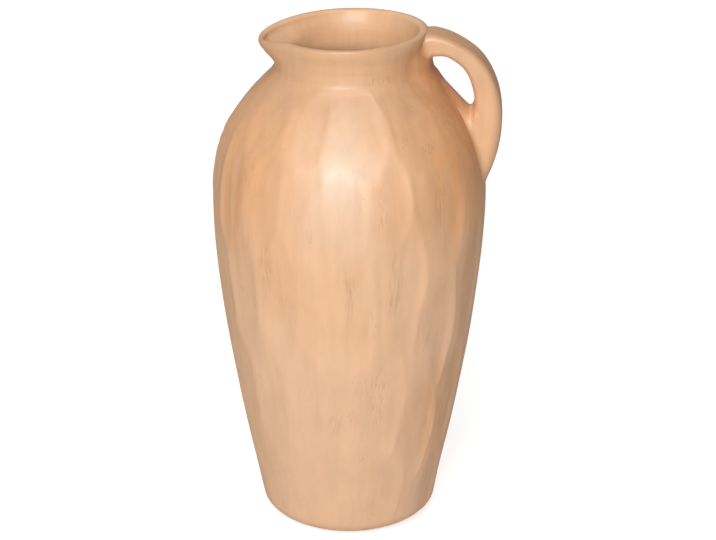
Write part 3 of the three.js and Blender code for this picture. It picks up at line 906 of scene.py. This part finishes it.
class Clay:
    """A node tree with short calls for the nodes that a clay finish needs."""

    def __init__(self, name, specular):
        self.material = bpy.data.materials.new(name)
        self.material.use_nodes = True
        self.nodes = self.material.node_tree.nodes
        self.links = self.material.node_tree.links
        self.shader = self.nodes["Principled BSDF"]
        self.shader.inputs["Specular IOR Level"].default_value = specular
        self.coordinates = self.nodes.new("ShaderNodeTexCoord").outputs["Object"]

    def stretched(self, scale):
        node = self.nodes.new("ShaderNodeMapping")
        node.inputs["Scale"].default_value = scale
        self.links.new(self.coordinates, node.inputs["Vector"])
        return node.outputs["Vector"]

    def noise(self, scale, detail, stretch=(1, 1, 1), roughness=0.5):
        node = self.nodes.new("ShaderNodeTexNoise")
        node.inputs["Scale"].default_value = scale
        node.inputs["Detail"].default_value = detail
        node.inputs["Roughness"].default_value = roughness
        self.links.new(self.stretched(stretch), node.inputs["Vector"])
        return node.outputs["Fac"]

    def height(self):
        node = self.nodes.new("ShaderNodeSeparateXYZ")
        self.links.new(self.coordinates, node.inputs["Vector"])
        return node.outputs["Z"]

    def facing(self):
        """0 where the surface faces the eye and 1 where it is seen edge on."""
        return self.nodes.new("ShaderNodeLayerWeight").outputs["Facing"]

    def painted(self, name):
        node = self.nodes.new("ShaderNodeAttribute")
        node.attribute_name = name
        return node.outputs["Fac"]

    def feed(self, socket, value):
        if isinstance(value, bpy.types.NodeSocket):
            self.links.new(value, socket)
        else:
            socket.default_value = value

    def math(self, operation, *values):
        node = self.nodes.new("ShaderNodeMath")
        node.operation = operation
        for socket, value in zip(node.inputs, values):
            self.feed(socket, value)
        return node.outputs["Value"]

    def ramp(self, value, *stops):
        node = self.nodes.new("ShaderNodeValToRGB")
        elements = node.color_ramp.elements
        while len(elements) < len(stops):
            elements.new(0.5)
        for element, (position, colour) in zip(elements, stops):
            element.position = position
            element.color = colour
        self.links.new(value, node.inputs["Fac"])
        return node.outputs["Color"]

    def level(self, value, low, high, to_low=0.0, to_high=1.0):
        """The value's way from low to high, smoothed, as a number from to_low to to_high."""
        node = self.nodes.new("ShaderNodeMapRange")
        node.interpolation_type = "SMOOTHSTEP"
        for name, number in (("From Min", low), ("From Max", high), ("To Min", to_low), ("To Max", to_high)):
            node.inputs[name].default_value = number
        self.links.new(value, node.inputs["Value"])
        return node.outputs["Result"]

    def mix(self, blend, factor, a, b):
        node = self.nodes.new("ShaderNodeMix")
        node.data_type = "RGBA"
        node.blend_type = blend
        self.feed(node.inputs["Factor"], factor)
        self.feed(node.inputs["A"], a)
        self.feed(node.inputs["B"], b)
        return node.outputs["Result"]

    def bump(self, height, distance, under=None):
        node = self.nodes.new("ShaderNodeBump")
        node.inputs["Distance"].default_value = distance
        self.links.new(height, node.inputs["Height"])
        if under:
            self.links.new(under, node.inputs["Normal"])
        return node.outputs["Normal"]

    def into(self, socket, value):
        self.links.new(value, self.shader.inputs[socket])


def tan_with_painted_light(clay):
    """The clay's colour, with the thumb's strokes in it and with painted light: painted shade on the neck,
    round the strap's root and on the flanks, a painted highlight on the front shoulder, painted light in the
    throat and a painted reflection of the floor low down.
    """
    # Paler low down, a painted reflection of the white floor, with random tone on it
    shade = clay.math("ADD", clay.level(clay.height(), PALE_BELOW, WARM_ABOVE, 0.55, 0.0), clay.noise(16, 3))
    tint = clay.ramp(shade, *TANS)
    # Darker neck: painted shade under the rim
    neck = clay.level(clay.height(), NECK_SHADE_LOW, NECK_SHADE_HIGH, 1.0, NECK_SHADE)
    tint = clay.mix("MULTIPLY", 1.0, tint, neck)
    # The brighter throat is painted light
    tint = clay.mix("MIX", clay.painted("throat"), tint, THROAT_LIT_TAN)
    brushed = clay.level(clay.noise(260, 3, (1, 1, 0.08)), 0.3, 0.6, 0.55, 1.0)
    blotched = clay.level(clay.noise(30, 3), 0.3, 0.6, 0.4, 0.7)
    streaked = clay.level(clay.noise(110, 3, (1, 1, 0.1)), 0.36, 0.6, 0.15, 0.6)
    # Painted shade round the strap's root and on the flanks, and a painted highlight on the front shoulder
    overlays = (("slip_and_shade", brushed, SLIP_SHADE_RED), ("highlight_bloom", blotched, HIGHLIGHT_PALE), ("shade_flush", streaked, SHADE_OCHRE))
    for name, pattern, colour in overlays:
        tint = clay.mix("MIX", clay.math("MULTIPLY", clay.painted(name), pattern), tint, colour)
    mottle = clay.ramp(clay.noise(75, 5, (1, 1, 0.6)), (0.3, grey(0.92)), (0.6, grey(1)))
    streaks = clay.ramp(clay.noise(170, 3, (1, 1, 0.06)), (0.32, grey(0.91)), (0.62, grey(1)))
    return clay.mix("MULTIPLY", 0.6, clay.mix("MULTIPLY", 0.8, tint, mottle), streaks)


def torn_marks(clay):
    """Short torn strokes in the patches that the thumb dragged over."""
    strokes = clay.level(clay.noise(800, 3, (1, 1, 0.05), 0.6), 0.5, 0.64)
    return clay.math("MULTIPLY", strokes, clay.level(clay.painted("drag"), 0.02, 0.6))


def hairlines(clay, wheel):
    """Fine upright cracks, here and there on the body, which the neck and the inside don't have."""
    line = clay.math("ABSOLUTE", clay.math("SUBTRACT", clay.noise(150, 2, (1, 1, 0.07)), 0.5))
    line = clay.level(line, 0.0, 0.012, 1.0, 0.0)
    line = clay.math("MULTIPLY", line, clay.level(clay.noise(45, 2, (1, 1, 0.6)), 0.52, 0.66))
    return clay.math("MULTIPLY", line, clay.math("SUBTRACT", 1.0, wheel))


def body_clay():
    """Bare tan clay, burnished with the thumb, with painted light in its colour, torn drag marks, hairlines,
    pits and a fine grit.
    Its dusty surface keeps it from shining where it is seen edge on."""
    clay = Clay("body_clay", 0.62)
    wheel = clay.painted("wheel")
    torn = torn_marks(clay)
    hairline = hairlines(clay, wheel)
    pits = clay.level(clay.noise(620, 2), 0.73, 0.79)
    colour = tan_with_painted_light(clay)
    marks = ((torn, 0.15, TORN_BROWN), (hairline, 0.2, HAIRLINE_BROWN), (pits, 0.35, PIT_BROWN))
    for mark, strength, brown in marks:
        colour = clay.mix("MULTIPLY", clay.math("MULTIPLY", mark, strength), colour, brown)
    clay.into("Base Color", colour)

    gloss = clay.level(clay.noise(55, 3, (1, 1, 0.4)), 0.35, 0.65, 0.39, 0.46)
    edge_on = clay.level(clay.facing(), 0.3, 0.85, 0.0, 0.45)
    rough = clay.math("ADD", gloss, edge_on)
    clay.into("Roughness", clay.math("ADD", rough, clay.math("MULTIPLY", torn, 0.15)))

    grain = clay.bump(clay.noise(1300, 3), GRAIN)
    strokes = clay.bump(clay.noise(330, 4, (1, 1, 0.05), 0.6), STROKES, grain)
    turned = clay.math("MULTIPLY", clay.noise(900, 3, (0.05, 0.05, 1)), wheel)
    turned_lines = clay.bump(turned, TURNED_LINES, strokes)
    cuts = clay.math("ADD", clay.math("ADD", torn, clay.math("MULTIPLY", hairline, 0.5)), pits)
    clay.into("Normal", clay.bump(clay.math("SUBTRACT", 1.0, cuts), CUTS, turned_lines))
    return clay.material


def foot_clay():
    """The matt, slightly gritty clay of the foot, ringed where the wire drew across it."""
    clay = Clay("foot_clay", 0.3)
    clay.shader.inputs["Roughness"].default_value = 0.85
    clay.into("Base Color", clay.ramp(clay.noise(60, 5), *FOOT_TANS))
    wire = clay.bump(clay.noise(240, 3, (0.08, 1, 1)), WIRE_MARKS)
    clay.into("Normal", clay.bump(clay.noise(700, 5), GRIT, wire))
    return clay.material


# Studio

CAMERA_AZIMUTH = math.radians(4)
CAMERA_PITCH = math.radians(22.04)
CAMERA_DISTANCE = 5 * RIM_HEIGHT
CAMERA_LENS = 129.1
CAMERA_SHIFT = (0.0124, 0.0087)


def place_camera():
    """The camera at the photograph's angle, aimed at the middle of the vase's axis."""
    data = bpy.data.cameras.new("camera")
    data.lens = CAMERA_LENS
    data.sensor_width = 36
    data.shift_x, data.shift_y = CAMERA_SHIFT
    camera = bpy.data.objects.new("camera", data)
    bpy.context.scene.collection.objects.link(camera)
    level = CAMERA_DISTANCE * math.cos(CAMERA_PITCH)
    target = Vector((0, 0, RIM_HEIGHT / 2))
    offset = Vector((level * math.sin(CAMERA_AZIMUTH), -level * math.cos(CAMERA_AZIMUTH),
                     CAMERA_DISTANCE * math.sin(CAMERA_PITCH)))
    camera.location = target + offset
    camera.rotation_euler = (-offset).to_track_quat("-Z", "Y").to_euler()
    bpy.context.scene.camera = camera


def softbox(name, azimuth, elevation, distance, size, power):
    """An area light aimed at the vase. Azimuth 0 is in front of it, and turns towards the handle."""
    data = bpy.data.lights.new(name, "AREA")
    data.shape = "RECTANGLE"
    data.size, data.size_y = size
    data.energy = power
    light = bpy.data.objects.new(name, data)
    bpy.context.scene.collection.objects.link(light)
    azimuth = math.radians(azimuth)
    elevation = math.radians(elevation)
    level = math.cos(elevation)
    offset = distance * Vector((math.sin(azimuth) * level, -math.cos(azimuth) * level, math.sin(elevation)))
    light.location = Vector((0, 0, RIM_HEIGHT / 2)) + offset
    light.rotation_euler = (-offset).to_track_quat("-Z", "Y").to_euler()
    light.visible_camera = False


def seen_directly(nodes, links):
    """1 for what the camera, a gloss or a glass sees, and 0 for the light that a surface gives others."""
    path = nodes.new("ShaderNodeLightPath")
    total = path.outputs["Is Camera Ray"]
    for name in ("Is Glossy Ray", "Is Transmission Ray"):
        node = nodes.new("ShaderNodeMath")
        node.operation = "MAXIMUM"
        links.new(total, node.inputs[0])
        links.new(path.outputs[name], node.inputs[1])
        total = node.outputs["Value"]
    return total


def light_world(strength):
    world = bpy.data.worlds.new("studio")
    world.use_nodes = True
    nodes = world.node_tree.nodes
    links = world.node_tree.links
    background = nodes["Background"]
    background.inputs["Color"].default_value = (1, 1, 1, 1)
    level = nodes.new("ShaderNodeMapRange")
    level.inputs["To Min"].default_value = strength
    level.inputs["To Max"].default_value = 1
    links.new(seen_directly(nodes, links), level.inputs["Value"])
    links.new(level.outputs["Result"], background.inputs["Strength"])
    bpy.context.scene.world = world


def lay_floor(glow):
    """A white floor that keeps the vase's shadow: matt paint, plus a glow where it is seen directly."""
    bm = bmesh.new()
    bmesh.ops.create_grid(bm, x_segments=1, y_segments=1, size=6)
    floor = mesh_object("floor", bm)
    material = bpy.data.materials.new("floor_paint")
    material.use_nodes = True
    nodes = material.node_tree.nodes
    links = material.node_tree.links
    shader = nodes["Principled BSDF"]
    shader.inputs["Base Color"].default_value = (0.8, 0.8, 0.8, 1)
    shader.inputs["Roughness"].default_value = 1
    shader.inputs["Specular IOR Level"].default_value = 0
    shader.inputs["Emission Color"].default_value = (1, 1, 1, 1)
    level = nodes.new("ShaderNodeMath")
    level.operation = "MULTIPLY"
    level.inputs[1].default_value = glow
    links.new(seen_directly(nodes, links), level.inputs[0])
    links.new(level.outputs["Value"], shader.inputs["Emission Strength"])
    floor.data.materials.append(material)


def add_piece(piece, material, slot, *nodes):
    piece.data.materials.append(material)
    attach(piece, "root")
    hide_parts(*nodes)


place_camera()
light_world(strength=0.15)
lay_floor(glow=0.66)
softbox("key_light", azimuth=-5, elevation=28, distance=1.9, size=(0.9, 0.5), power=26.6)
softbox("top_light", azimuth=-10, elevation=66, distance=1.7, size=(1.1, 0.9), power=6)
softbox("back_light", azimuth=180, elevation=32, distance=2.2, size=(2, 1.2), power=9)

body = body_clay()
foot = foot_clay()
add_piece(thrown_wall(), body, "body_clay", "lower_wall", "upper_wall", "neck_collar")
add_piece(foot_disc(), foot, "foot_clay", "floor_disc")
add_piece(luted_handle(), body, "body_clay", "handle", "handle_upper_wad", "handle_lower_wad")

bpy.context.scene.view_settings.view_transform = "Standard"
